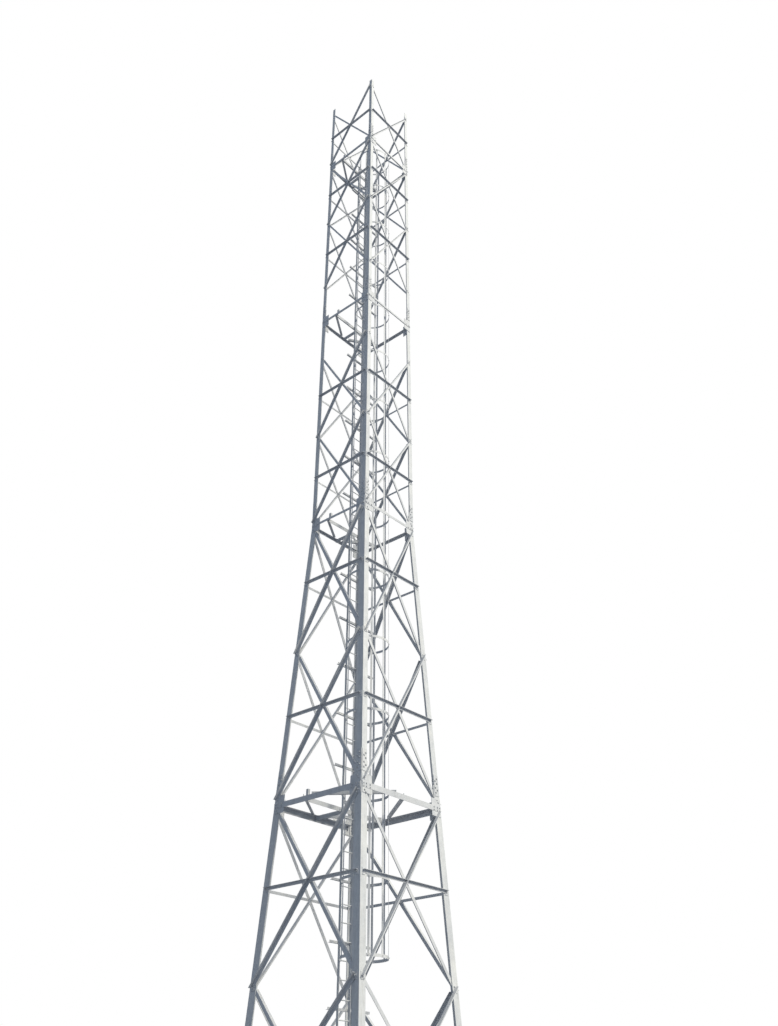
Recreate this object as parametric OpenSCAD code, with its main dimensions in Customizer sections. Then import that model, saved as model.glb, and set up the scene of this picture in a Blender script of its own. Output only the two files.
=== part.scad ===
// Cell tower: a square lattice mast of bolted angle bars, 26.7 m tall, on four base plates.
// Three coordinates name a place: +x is to the right of the ladder's climber, +y is behind the
// ladder, +z is up. The origin is the middle of the underside of the near foot's base plate.

/* [Outline] */
// Width across the leg heels at the ground
base_w = 2750; // [2650:10:2850]
// Width across the leg heels from the bend upwards
top_w = 1550; // [1500:10:1600]
// Height of the base section, up to its joint level
base_len = 6000; // [5900:20:6100]
// Height of the lower section, up to the bend where the legs turn upright
lower_len = 6000; // [5900:20:6100]
// Height of the middle section
middle_len = 6000; // [5900:20:6100]
// Height of the upper section
upper_len = 6000; // [5900:20:6100]
// Height of the crown's highest bracing bolts over its joint level
crown_len = 2400; // [2300:20:2480]
// Height of the leg tips over the highest bracing bolts
tip_len = 280; // [200:10:400]

/* [Legs] */
// Flange width of the base section's legs
base_leg_w = 150; // [140:1:160]
// Thickness of the base section's legs
base_leg_t = 14; // [13:1:16]
// Flange width of the lower section's legs
lower_leg_w = 130; // [120:1:140]
// Thickness of the lower section's legs
lower_leg_t = 12; // [11:1:13]
// Flange width of the middle section's legs
middle_leg_w = 110; // [105:1:118]
// Thickness of the middle section's legs
middle_leg_t = 10; // [9:1:11]
// Flange width of the upper section's legs
upper_leg_w = 100; // [95:1:104]
// Thickness of the upper section's legs
upper_leg_t = 8; // [8:1:9]
// Flange width of the crown's legs
crown_leg_w = 90; // [88:1:95]
// Thickness of the crown's legs
crown_leg_t = 7; // [6:1:8]

/* [Leg joints] */
// Height of a butt joint of the legs over its joint level
joint_rise = 420; // [400:10:440]
// Length of the outer cover plates
cover_len = 400; // [380:10:420]
// Thickness of the outer cover plates
cover_t = 8; // [6:1:8]
// Length of the inner joint angle
inner_len = 300; // [280:10:310]
// Thickness of the inner joint angle
inner_t = 10; // [8:1:12]
// Distance of a cover plate's edges from the flange's edges
cover_edge = 6; // [4:1:10]

/* [Face bracing] */
// Width of the base section's diagonals
base_diag_w = 63; // [60:1:66]
// Thickness of the base section's diagonals
base_diag_t = 7; // [6:1:8]
// Width of the lower section's diagonals
lower_diag_w = 63; // [60:1:66]
// Thickness of the lower section's diagonals
lower_diag_t = 6; // [6:1:8]
// Width of the middle section's diagonals
middle_diag_w = 50; // [48:1:53]
// Thickness of the middle section's diagonals
middle_diag_t = 5; // [5:1:6]
// Width of the upper section's and the crown's diagonals
upper_diag_w = 45; // [43:1:48]
// Thickness of the upper section's and the crown's diagonals
upper_diag_t = 5; // [4:1:6]
// Width of the light level bars at the crossings in the base section
base_hor_w = 50; // [47:1:53]
// Width of the light level bars in the lower section
lower_hor_w = 50; // [47:1:53]
// Width of the light level bars over the bend
upper_hor_w = 45; // [42:1:48]
// Thickness of the light level bars under the bend
hor_t = 5; // [4:1:5]
// Thickness of the light level bars over the bend
upper_hor_t = 4; // [3:0.5:4.5]
// Length of a diagonal past the middle of the leg flange
end_reach = 28; // [24:1:30]
// Length of a light level bar past the middle of the leg flange
level_reach = 24; // [20:1:28]
// Length by which the standing leg of an inner diagonal is cut back
cope = 80; // [75:5:100]
// Side of the square spacer where two diagonals cross
spacer_w = 50; // [46:1:60]
// Height over the foot of the lowest bracing bolts
foot_clear = 340; // [330:10:380]
// Height of the bracing point in the base section
base_point = 3000; // [2950:10:3050]
// Height of the bracing point in the lower section over its foot
lower_rise = 3000; // [2950:10:3050]
// Height of a braced panel over the bend
panel_h = 2400; // [2380:10:2420]
// Height of the open half panel at the foot of the upper section
half_panel_h = 1200; // [1190:10:1210]

/* [Node plates] */
// Thickness of the packing and gusset plates
pack_t = 8; // [8:1:9]
// Width of a packing plate
pack_w = 76; // [60:1:80]
// Height of a packing plate
pack_h = 110; // [90:1:130]
// Height of a gusset plate over and under its joint level
gusset_rise = 160; // [150:5:175]
// Reach of a gusset plate past the leg flange
gusset_reach = 110; // [90:5:120]
// Distance of a diagonal's bolt over a joint level
bolt_over = 100; // [98:1:104]
// Distance of a diagonal's bolt under a joint level
bolt_under = 110; // [105:1:115]

/* [Heavy level bars] */
// Width of the level bars at the lowest joint level
heavy_w = 100; // [96:1:104]
// Width of the level bars at the joint levels from the bend upwards
upper_heavy_w = 55; // [52:1:60]
// Thickness of the level bars and cross angles at the joint levels
heavy_t = 8; // [7:1:9]
// Height of the top of a heavy level bar over its joint level
heavy_top = 30; // [26:1:32]
// Width of the angles that cut the corners in plan
cutter_w = 55; // [50:1:60]
// Width of the ladder beams
beam_w = 80; // [75:1:85]
// Height of the stub at the end of a ladder beam
stub_h = 120; // [100:5:150]
// Distance of a bar's end from the leg's heel
heel_gap = 12; // [10:1:16]

/* [Ladder] */
// Distance of the ladder's middle plane behind the tower's axis
ladder_y = 250; // [245:1:255]
// Distance between the middles of the ladder's stiles
stile_pitch = 280; // [270:1:290]
// Thickness of a stile
stile_t = 10; // [8:1:12]
// Depth of a stile
stile_d = 50; // [46:1:54]
// Diameter of a rung
rung_d = 20; // [18:1:22]
// Distance between rungs
rung_pitch = 300; // [290:1:310]
// Height of the ladder's foot
ladder_foot = 300; // [250:10:340]
// Least height of the ladder's top over the highest joint level
ladder_over = 200; // [150:10:220]
// Height of the lowest cable bar
bar_first = 650; // [620:10:680]
// Distance between cable bars
bar_pitch = 1020; // [1015:1:1025]
// Length of a cable bar
bar_len = 1030; // [1000:5:1040]
// Distance of a cable bar's middle to the right of the ladder's middle
bar_shift = 165; // [160:1:168]
// Width of a cable bar
bar_w = 40; // [36:1:45]

/* [Cage] */
// Distance of the cage's middle in front of the tower's axis
cage_y = 200; // [195:1:205]
// Outer radius of a hoop
hoop_r = 420; // [415:1:422]
// Thickness of hoops and straps
strip_t = 5; // [4:1:6]
// Height of a hoop
hoop_h = 50; // [46:1:54]
// Width of a strap
strap_w = 40; // [36:1:44]
// Angle between straps
strap_step = 38; // [37:0.5:39]
// Height of the lowest hoop
hoop_low = 3450; // [3400:10:3550]
// Height of the second hoop
hoop_first = 4700; // [4650:10:4750]
// Distance between hoops
hoop_pitch = 1500; // [1495:1:1505]

/* [Base plates] */
// Side of a base plate
plate_w = 400; // [390:5:420]
// Thickness of a base plate
plate_t = 30; // [28:1:32]
// Distance between anchor holes
anchor_pitch = 280; // [270:2:290]
// Diameter of an anchor hole
anchor_d = 36; // [33:1:39]
// Height of a rib on a base plate
rib_h = 200; // [180:5:220]
// Thickness of a rib
rib_t = 12; // [10:1:14]

/* [Hidden] */
level_1 = base_len;
level_2 = level_1 + lower_len;
level_3 = level_2 + middle_len;
level_4 = level_3 + upper_len;
crown_z = level_4 + crown_len;
tip_z = crown_z + tip_len;
lower_point = level_1 + lower_rise;
slope = (base_w - top_w) / 2 / level_2;
batter = atan(slope);
skew = asin(slope * slope / (1 + slope * slope));
foot_off = base_w / 2 - base_leg_w / 2;
leg_axis = [slope, slope, 1] / norm([slope, slope, 1]);
flange_axis = [1 + slope * slope, -slope * slope, -slope]
    / norm([1 + slope * slope, -slope * slope, -slope]);
side_axis = cross(leg_axis, flange_axis);
joint_levels = [level_1, level_2, level_3, level_4];
stile_x = stile_pitch / 2;
hoop_count = floor((level_4 + 300 - hoop_first) / hoop_pitch);
hoop_levels = concat([hoop_low], [for (i = [0 : hoop_count]) hoop_first + i * hoop_pitch]);
cage_top = hoop_levels[len(hoop_levels) - 1] + hoop_h / 2;
ladder_top = max(cage_top, level_4 + ladder_over);
bar_count = floor((ladder_top - 200 - bar_first) / bar_pitch);
rung_count = floor((ladder_top - ladder_foot - 200) / rung_pitch);
base_panels = [[foot_clear, base_point], [base_point, level_1 - bolt_under]];
lower_panels = [[level_1 + bolt_over, lower_point], [lower_point, level_2 - bolt_under]];
middle_panels = [
    [level_2 + bolt_over, level_2 + panel_h],
    [level_2 + panel_h, level_2 + 2 * panel_h]
];
upper_panels = [
    [level_3 + half_panel_h, level_3 + half_panel_h + panel_h],
    [level_3 + half_panel_h + panel_h, level_4 - bolt_under]
];
crown_panels = [[level_4 + bolt_over, crown_z]];

// Half the width across the heels at a height
function half(z) = z < level_2 ? top_w / 2 + slope * (level_2 - z) : top_w / 2;

// Distance from the ground along a face, which leans below the bend
function up(z, leaning) = leaning ? z / cos(batter) : z;

// Is this height one of the joint levels' bolts?
function at_level(z) = len([for (l = joint_levels) if (abs(z - l) < 150) l]) > 0;

// Places the tower's axis, so that the near foot is at the origin
module tower() {
    translate([foot_off, foot_off, 0])
        children();
}

// The frame of a face: x along it, y = 0 on its outer plane, z up along it
module on_face(leaning) {
    if (leaning) {
        translate([0, -base_w / 2, 0])
            rotate([-batter, 0, 0])
                children();
    } else {
        translate([0, -top_w / 2, 0])
            children();
    }
}

// The frame of the near leg at a height: its heel line is z, its two flanges lie along x and y
module on_leg(z, leaning) {
    if (leaning) {
        multmatrix([
            [flange_axis[0], side_axis[0], leg_axis[0], -half(z)],
            [flange_axis[1], side_axis[1], leg_axis[1], -half(z)],
            [flange_axis[2], side_axis[2], leg_axis[2], z],
            [0, 0, 0, 1]
        ])
            children();
    } else {
        translate([-half(z), -half(z), z])
            children();
    }
}

// A point of a leg's section: so far along a flange, and so deep under its outer face
function on_first(along, deep) = [along, deep];
function on_second(along, deep, e) =
    [-along * sin(e) + deep * cos(e), along * cos(e) + deep * sin(e)];
function corner(deep, e) = on_second(deep * (1 - sin(e)) / cos(e), deep, e);

// The section of an angle between two depths under its outer faces
module angle_section(w, deep_0, deep_1, e) {
    polygon([
        corner(deep_0, e),
        on_first(w, deep_0),
        on_first(w, deep_1),
        corner(deep_1, e),
        on_second(w, deep_1, e),
        on_second(w, deep_0, e)
    ]);
}

// A stretch of the near leg
module leg_run(z_0, z_1, w, t, leaning) {
    e = leaning ? skew : 0;
    run = leaning ? (z_1 - z_0) * norm([slope, slope, 1]) : z_1 - z_0;
    on_leg(z_0, leaning)
        linear_extrude(run)
            angle_section(w, 0, t, e);
}

// The base plate of the near foot, with its ribs and anchor holes
module base_plate() {
    heel = base_w / 2;
    mid = base_leg_w / 2;
    edge = (plate_w - base_leg_w) / 2;
    top = plate_t + rib_h;
    translate([-heel, -heel, 0]) {
        difference() {
            translate([mid - plate_w / 2, mid - plate_w / 2, 0])
                cube([plate_w, plate_w, plate_t]);
            for (x = [-1, 1], y = [-1, 1]) {
                translate([mid + x * anchor_pitch / 2, mid + y * anchor_pitch / 2, -1])
                    cylinder(h = plate_t + 2, d = anchor_d, $fn = 48);
            }
        }
        for (flip = [0, 1]) {
            mirror([flip, -flip, 0])
                translate([mid + rib_t / 2, 0, 0])
                    rotate([90, 0, -90]) {
                        linear_extrude(rib_t)
                            polygon([
                                [-slope * plate_t, plate_t],
                                [edge - 12, plate_t],
                                [edge - 12, plate_t + 30],
                                [20, top],
                                [-slope * top, top]
                            ]);
                        linear_extrude(rib_t)
                            polygon([
                                [-base_leg_t - slope * plate_t, plate_t],
                                [-base_leg_t - slope * top, top],
                                [-base_leg_t - 40, top],
                                [12 - plate_w + edge, plate_t + 30],
                                [12 - plate_w + edge, plate_t]
                            ]);
                    }
        }
    }
}

// A straight angle bar in a face, from p to q, its flat leg on the plane y = deep
module member(p, q, w, t, deep, side, reach, cut) {
    run = norm(q - p) + 2 * reach;
    translate([p[0], deep, p[1]])
        rotate([0, -atan2(q[1] - p[1], q[0] - p[0]), 0])
            translate([-reach, 0, 0]) {
                translate([0, side > 0 ? 0 : -t, -w / 2])
                    cube([run, t, w]);
                translate([cut, side > 0 ? 0 : -w, w / 2 - t])
                    cube([run - 2 * cut, w, t]);
            }
}

// A packing plate on the outside of a leg flange
module pack_plate(x, z) {
    translate([x - pack_w / 2, -pack_t, z - pack_h / 2])
        cube([pack_w, pack_t, pack_h]);
}

// The crossed diagonals of one face of a section, with a light level bar at each crossing.
// seat_t is the thickness of the thickest leg that the inner diagonals lie on.
module crossings(panels, leaning, leg_w, leg_t, seat_t, diag_w, diag_t, hor_w, level_t) {
    mid = leg_w / 2;
    on_face(leaning) {
        for (panel = panels) {
            z_b = panel[0];
            z_t = panel[1];
            x_b = half(z_b) - mid;
            x_t = half(z_t) - mid;
            z_c = z_b + (z_t - z_b) * x_b / (x_b + x_t);
            x_c = half(z_c) - mid;
            member([-x_b, up(z_b, leaning)], [x_t, up(z_t, leaning)],
                diag_w, diag_t, -pack_t, -1, end_reach, 0);
            member([-x_t, up(z_t, leaning)], [x_b, up(z_b, leaning)],
                diag_w, diag_t, seat_t, 1, end_reach, cope);
            translate([-spacer_w / 2, -pack_t, up(z_c, leaning) - spacer_w / 2])
                cube([spacer_w, pack_t + seat_t, spacer_w]);
            member([-x_c, up(z_c, leaning)], [x_c, up(z_c, leaning)],
                hor_w, level_t, -pack_t, -1, level_reach, 0);
            pack_plate(-x_c, up(z_c, leaning));
            pack_plate(x_c, up(z_c, leaning));
            if (!at_level(z_t)) {
                pack_plate(x_t, up(z_t, leaning));
                shim(-x_t, up(z_t, leaning), leg_t, seat_t);
            }
            if (!at_level(z_b)) {
                pack_plate(-x_b, up(z_b, leaning));
                shim(x_b, up(z_b, leaning), leg_t, seat_t);
            }
        }
    }
}

// A thin packing under an inner diagonal's end, where the leg is thinner than at the joint
module shim(x, z, leg_t, seat_t) {
    if (seat_t > leg_t)
        translate([x - 22, leg_t, z - 22])
            cube([44, seat_t - leg_t + 1, 44]);
}

// The heavy level bar of one face at a joint level, and the gusset plates at its ends
module level_bar(z, leg_w, leaning_under, leaning_over, bar_w) {
    span = half(z) - heel_gap;
    shelf = half(z) - leg_w - 20;
    translate([0, -half(z), z]) {
        translate([-span, -pack_t - heavy_t, heavy_top - bar_w])
            cube([2 * span, heavy_t, bar_w]);
        translate([-shelf, -pack_t - heavy_t, heavy_top - heavy_t])
            cube([2 * shelf, bar_w, heavy_t]);
    }
    for (side = [-1, 1]) {
        on_face(leaning_under)
            translate([side * (half(z) - (heel_gap + leg_w + gusset_reach) / 2), -pack_t / 2,
                up(z, leaning_under) - gusset_rise / 2])
                cube([leg_w + gusset_reach - heel_gap, pack_t, gusset_rise + 6], center = true);
        on_face(leaning_over)
            translate([side * (half(z) - (heel_gap + leg_w + gusset_reach) / 2), -pack_t / 2,
                up(z, leaning_over) + gusset_rise / 2])
                cube([leg_w + gusset_reach - heel_gap, pack_t, gusset_rise + 6], center = true);
    }
}

// Cover plates and inner angles at the butt joints of the four legs over a joint level
module leg_joint(z, w_up, t_down, t_up, leaning) {
    e = leaning ? skew : 0;
    w = w_up - cover_edge;
    for (k = [0 : 3]) {
        rotate([0, 0, 90 * k])
            on_leg(z + joint_rise, leaning) {
                translate([0, 0, -cover_len / 2])
                    linear_extrude(cover_len)
                        polygon([
                            on_first(cover_edge, -cover_t),
                            on_first(w, -cover_t),
                            on_first(w, 0),
                            on_first(cover_edge, 0)
                        ]);
                translate([0, 0, -cover_len / 2])
                    linear_extrude(cover_len)
                        polygon([
                            on_second(cover_edge, -cover_t, e),
                            on_second(w, -cover_t, e),
                            on_second(w, 0, e),
                            on_second(cover_edge, 0, e)
                        ]);
                translate([0, 0, -inner_len / 2])
                    linear_extrude(inner_len / 2 + 1)
                        angle_section(w, t_down, t_down + inner_t, e);
                linear_extrude(inner_len / 2)
                    angle_section(w, t_up, t_down + inner_t, e);
            }
    }
}

// An angle laid flat between two points in plan, on the plane z
module flat_angle(p, q, z, w) {
    translate([p[0], p[1], z])
        rotate([0, 0, atan2(q[1] - p[1], q[0] - p[0])]) {
            translate([0, -w / 2, 0])
                cube([norm(q - p), w, heavy_t]);
            translate([0, -w / 2, 0])
                cube([norm(q - p), heavy_t, w]);
        }
}

// The bars that lie level inside the tower at a joint level
module plan_bars(z, front_too) {
    h = half(z);
    back = ladder_y + stile_d / 2;
    shelf = z + heavy_top;
    under = shelf - heavy_t;
    for (side = [-1, 1]) {
        flat_angle([side * 120, h - 40], [side * (h - 40), back + 65], shelf, cutter_w);
        if (front_too)
            flat_angle([side * (h - 40), back - 115], [side * 120, 40 - h], shelf, cutter_w);
    }
    translate([5 - h, back, under - heavy_t])
        cube([2 * h - 10, beam_w, heavy_t]);
    translate([5 - h, back, under - beam_w])
        cube([2 * h - 10, heavy_t, beam_w]);
    translate([-beam_w / 2, back + 1, under - heavy_t])
        cube([beam_w, h - back - 6, heavy_t]);
    translate([-beam_w / 2, back + 1, under - beam_w])
        cube([heavy_t, h - back - 6, beam_w]);
    translate([10 - h, back - 50, shelf])
        cube([50, hor_t, stub_h]);
    translate([10 - h, back - 50, shelf])
        cube([hor_t, 50, stub_h]);
}

// Turns what is drawn for the front to one of the four sides
module face(i) {
    rotate([0, 0, 90 * i])
        children();
}

module base_plates() {
    color([0.66, 0.67, 0.68])
        tower()
            for (k = [0 : 3])
                rotate([0, 0, 90 * k])
                    base_plate();
}

module legs_base() {
    color([0.74, 0.75, 0.76])
        tower()
            for (k = [0 : 3])
                rotate([0, 0, 90 * k])
                    difference() {
                        leg_run(plate_t - 5, level_1 + joint_rise, base_leg_w, base_leg_t, true);
                        translate([-base_w, -base_w, plate_t - 100])
                            cube([base_w, base_w, 100]);
                    }
}

module legs_lower() {
    color([0.74, 0.75, 0.76])
        tower()
            for (k = [0 : 3])
                rotate([0, 0, 90 * k]) {
                    leg_run(level_1 + joint_rise, level_2 + 10, lower_leg_w, lower_leg_t, true);
                    translate([-top_w / 2, -top_w / 2, level_2 - 20])
                        linear_extrude(joint_rise + 20)
                            angle_section(lower_leg_w, 0, lower_leg_t, 0);
                }
}

module legs_over(z_0, z_1, w, t) {
    color([0.74, 0.75, 0.76])
        tower()
            for (k = [0 : 3])
                rotate([0, 0, 90 * k])
                    leg_run(z_0, z_1, w, t, false);
}

module legs_middle() {
    legs_over(level_2 + joint_rise, level_3 + joint_rise, middle_leg_w, middle_leg_t);
}

module legs_upper() {
    legs_over(level_3 + joint_rise, level_4 + joint_rise, upper_leg_w, upper_leg_t);
}

module legs_crown() {
    legs_over(level_4 + joint_rise, tip_z, crown_leg_w, crown_leg_t);
}

module joint_1() {
    color([0.70, 0.71, 0.72])
        tower()
            leg_joint(level_1, lower_leg_w, base_leg_t, lower_leg_t, true);
}

module joint_2() {
    color([0.70, 0.71, 0.72])
        tower()
            leg_joint(level_2, middle_leg_w, lower_leg_t, middle_leg_t, false);
}

module joint_3() {
    color([0.70, 0.71, 0.72])
        tower()
            leg_joint(level_3, upper_leg_w, middle_leg_t, upper_leg_t, false);
}

module joint_4() {
    color([0.70, 0.71, 0.72])
        tower()
            leg_joint(level_4, crown_leg_w, upper_leg_t, crown_leg_t, false);
}

module base_face(i) {
    color([0.68, 0.69, 0.71])
        tower()
            face(i) {
                crossings(base_panels, true, base_leg_w, base_leg_t, base_leg_t,
                    base_diag_w, base_diag_t, base_hor_w, hor_t);
                level_bar(level_1, base_leg_w, true, true, heavy_w);
            }
}

module lower_face(i) {
    color([0.68, 0.69, 0.71])
        tower()
            face(i) {
                crossings(lower_panels, true, lower_leg_w, lower_leg_t, base_leg_t,
                    lower_diag_w, lower_diag_t, lower_hor_w, hor_t);
                level_bar(level_2, lower_leg_w, true, false, upper_heavy_w);
            }
}

module middle_face(i) {
    color([0.68, 0.69, 0.71])
        tower()
            face(i) {
                crossings(middle_panels, false, middle_leg_w, middle_leg_t, lower_leg_t,
                    middle_diag_w, middle_diag_t, upper_hor_w, upper_hor_t);
                level_bar(level_3, middle_leg_w, false, false, upper_heavy_w);
            }
}

module upper_face(i) {
    color([0.68, 0.69, 0.71])
        tower()
            face(i) {
                crossings(upper_panels, false, upper_leg_w, upper_leg_t, upper_leg_t,
                    upper_diag_w, upper_diag_t, upper_hor_w, upper_hor_t);
                level_bar(level_4, upper_leg_w, false, false, upper_heavy_w);
            }
}

module crown_face(i) {
    color([0.68, 0.69, 0.71])
        tower()
            face(i)
                crossings(crown_panels, false, crown_leg_w, crown_leg_t, upper_leg_t,
                    upper_diag_w, upper_diag_t, upper_hor_w, upper_hor_t);
}

module base_front() {
    base_face(0);
}

module base_right() {
    base_face(1);
}

module base_back() {
    base_face(2);
}

module base_left() {
    base_face(3);
}

module lower_front() {
    lower_face(0);
}

module lower_right() {
    lower_face(1);
}

module lower_back() {
    lower_face(2);
}

module lower_left() {
    lower_face(3);
}

module middle_front() {
    middle_face(0);
}

module middle_right() {
    middle_face(1);
}

module middle_back() {
    middle_face(2);
}

module middle_left() {
    middle_face(3);
}

module upper_front() {
    upper_face(0);
}

module upper_right() {
    upper_face(1);
}

module upper_back() {
    upper_face(2);
}

module upper_left() {
    upper_face(3);
}

module crown_front() {
    crown_face(0);
}

module crown_right() {
    crown_face(1);
}

module crown_back() {
    crown_face(2);
}

module crown_left() {
    crown_face(3);
}

module plan_1() {
    color([0.62, 0.63, 0.65])
        tower()
            plan_bars(level_1, true);
}

module plan_2() {
    color([0.62, 0.63, 0.65])
        tower()
            plan_bars(level_2, false);
}

module plan_3() {
    color([0.62, 0.63, 0.65])
        tower()
            plan_bars(level_3, false);
}

module plan_4() {
    color([0.62, 0.63, 0.65])
        tower()
            plan_bars(level_4, false);
}

module ladder() {
    color([0.72, 0.73, 0.74])
        tower() {
            for (side = [-1, 1])
                translate([side * stile_x - stile_t / 2, ladder_y - stile_d / 2, ladder_foot])
                    cube([stile_t, stile_d, ladder_top - ladder_foot]);
            for (i = [0 : rung_count])
                translate([-stile_x, ladder_y, ladder_foot + 150 + i * rung_pitch])
                    rotate([0, 90, 0])
                        cylinder(h = stile_pitch, d = rung_d, $fn = 24);
        }
}

module cable_bars() {
    color([0.62, 0.63, 0.65])
        tower()
            for (i = [0 : bar_count]) {
                z = bar_first + i * bar_pitch;
                if (!at_level(z))
                    translate([bar_shift - bar_len / 2, ladder_y + stile_d / 2, z]) {
                        cube([bar_len, 4, bar_w]);
                        cube([bar_len, bar_w, 4]);
                    }
            }
}

module cage_hoops() {
    color([0.72, 0.73, 0.74])
        tower()
            for (z = hoop_levels)
                translate([0, -cage_y, z - hoop_h / 2]) {
                    difference() {
                        cylinder(h = hoop_h, r = hoop_r, $fn = 96);
                        translate([0, 0, -1])
                            cylinder(h = hoop_h + 2, r = hoop_r - strip_t, $fn = 96);
                        translate([-stile_x, 0, -1])
                            cube([stile_pitch, hoop_r + 10, hoop_h + 2]);
                    }
                    for (side = [-1, 1])
                        translate([side * stile_x - strip_t / 2,
                            sqrt(hoop_r * hoop_r - stile_x * stile_x) - 8, 0])
                            cube([strip_t, cage_y + ladder_y - stile_d / 2 + 8
                                - sqrt(hoop_r * hoop_r - stile_x * stile_x), hoop_h]);
                }
}

module cage_straps() {
    inner = hoop_r - strip_t;
    face = sqrt(inner * inner - strap_w * strap_w / 4) + 0.1;
    low = hoop_levels[0] - hoop_h / 2;
    color([0.72, 0.73, 0.74])
        tower()
            for (i = [-3 : 3])
                translate([0, -cage_y, low])
                    rotate([0, 0, i * strap_step])
                        translate([-strap_w / 2, -face, 0])
                            cube([strap_w, strip_t, cage_top - low]);
}

base_plates();
legs_base();
legs_lower();
legs_middle();
legs_upper();
legs_crown();
joint_1();
joint_2();
joint_3();
joint_4();
base_front();
base_right();
base_back();
base_left();
lower_front();
lower_right();
lower_back();
lower_left();
middle_front();
middle_right();
middle_back();
middle_left();
upper_front();
upper_right();
upper_back();
upper_left();
crown_front();
crown_right();
crown_back();
crown_left();
plan_1();
plan_2();
plan_3();
plan_4();
ladder();
cable_bars();
cage_hoops();
cage_straps();
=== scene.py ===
import math
import bmesh
import bpy
from mathutils import Matrix, Vector


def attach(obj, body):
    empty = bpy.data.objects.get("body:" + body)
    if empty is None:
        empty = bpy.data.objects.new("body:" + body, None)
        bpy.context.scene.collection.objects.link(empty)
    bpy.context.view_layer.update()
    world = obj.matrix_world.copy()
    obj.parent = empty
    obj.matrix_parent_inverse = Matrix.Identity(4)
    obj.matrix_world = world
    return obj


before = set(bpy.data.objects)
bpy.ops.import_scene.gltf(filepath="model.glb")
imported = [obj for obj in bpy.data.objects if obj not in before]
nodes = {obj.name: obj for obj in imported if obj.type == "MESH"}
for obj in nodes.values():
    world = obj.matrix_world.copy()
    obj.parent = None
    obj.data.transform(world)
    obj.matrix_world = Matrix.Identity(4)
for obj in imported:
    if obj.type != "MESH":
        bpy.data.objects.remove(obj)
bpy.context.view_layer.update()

# The camera is at the photograph's viewpoint: 16 m out from the near foot, close to the tower's
# diagonal and low over the ground, looking steeply up along the tower.
focal_pixels, picture_height = 963.3, 1026
camera_data = bpy.data.cameras.new("photo_camera")
camera_data.sensor_fit = "VERTICAL"
camera_data.sensor_height = 24
camera_data.lens = focal_pixels / picture_height * camera_data.sensor_height
camera_data.clip_end = 500
camera = bpy.data.objects.new("photo_camera", camera_data)
bpy.context.scene.collection.objects.link(camera)
tilt, heading = math.radians(32.82), math.radians(41.13)
camera.rotation_euler = (math.pi / 2 + tilt, 0, heading - math.pi / 2)
camera.location = (-11.69, -10.80, 0.973)
bpy.context.scene.camera = camera

# The light is a dim bluish sky with a soft warm key from the front right, so that the faces
# that look right come out cream and those that look left stay grey, as in the photograph.
key_towards = Vector((-0.15, 0.74, -0.66))
key_data = bpy.data.lights.new("key", "SUN")
key_data.energy = 4.1
key_data.angle = math.radians(20)
key_data.color = (1, 0.94, 0.80)
key = bpy.data.objects.new("key", key_data)
key.rotation_euler = key_towards.to_track_quat("-Z", "Y").to_euler()
bpy.context.scene.collection.objects.link(key)

# The world is a dim blue sky that lights the tower, and plain white wherever the camera, a gloss
# or a clear surface looks at it, so that the background is white and the zinc mirrors it.
world = bpy.data.worlds.new("sky")
bpy.context.scene.world = world
world.use_nodes = True
sky = world.node_tree
sky.nodes.clear()
rays = sky.nodes.new("ShaderNodeLightPath")
seen = sky.nodes.new("ShaderNodeMath")
seen.operation = "MAXIMUM"
sky.links.new(rays.outputs["Is Camera Ray"], seen.inputs[0])
sky.links.new(rays.outputs["Is Glossy Ray"], seen.inputs[1])
seen_too = sky.nodes.new("ShaderNodeMath")
seen_too.operation = "MAXIMUM"
sky.links.new(seen.outputs[0], seen_too.inputs[0])
sky.links.new(rays.outputs["Is Transmission Ray"], seen_too.inputs[1])
light_sky = sky.nodes.new("ShaderNodeBackground")
light_sky.inputs["Color"].default_value = (0.52, 0.72, 1, 1)
light_sky.inputs["Strength"].default_value = 0.31
white_sky = sky.nodes.new("ShaderNodeBackground")
white_sky.inputs["Color"].default_value = (1, 1, 1, 1)
white_sky.inputs["Strength"].default_value = 1
both = sky.nodes.new("ShaderNodeMixShader")
sky.links.new(seen_too.outputs[0], both.inputs[0])
sky.links.new(light_sky.outputs[0], both.inputs[1])
sky.links.new(white_sky.outputs[0], both.inputs[2])
out = sky.nodes.new("ShaderNodeOutputWorld")
sky.links.new(both.outputs[0], out.inputs["Surface"])
bpy.context.scene.view_settings.view_transform = "Standard"

# The base plates: thick square plates with ribs welded round each leg foot, hot dip galvanised.
# The zinc is dull and mottled, with small spangle flakes, pale bloom, faint runs and soil
# splashed up from the ground. The function zinc makes every other galvanised finish too.


# A Wire is a socket that Python's operators work on: each adds a Math node.
class Wire:
    def __init__(self, finish, socket):
        self.finish = finish
        self.socket = socket

    def math(self, operation, first, second):
        return self.finish.add("ShaderNodeMath", {"operation": operation}, {0: first, 1: second})

    def __add__(self, other):
        return self.math("ADD", self, other)

    def __radd__(self, other):
        return self.math("ADD", other, self)

    def __sub__(self, other):
        return self.math("SUBTRACT", self, other)

    def __rsub__(self, other):
        return self.math("SUBTRACT", other, self)

    def __mul__(self, other):
        return self.math("MULTIPLY", self, other)

    def __rmul__(self, other):
        return self.math("MULTIPLY", other, self)

    def __abs__(self):
        return self.math("ABSOLUTE", self, 0)

    def between(self, start, end):
        return self.finish.add("ShaderNodeMapRange", {"clamp": True},
                               {"Value": self, "From Min": start, "From Max": end})


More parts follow.
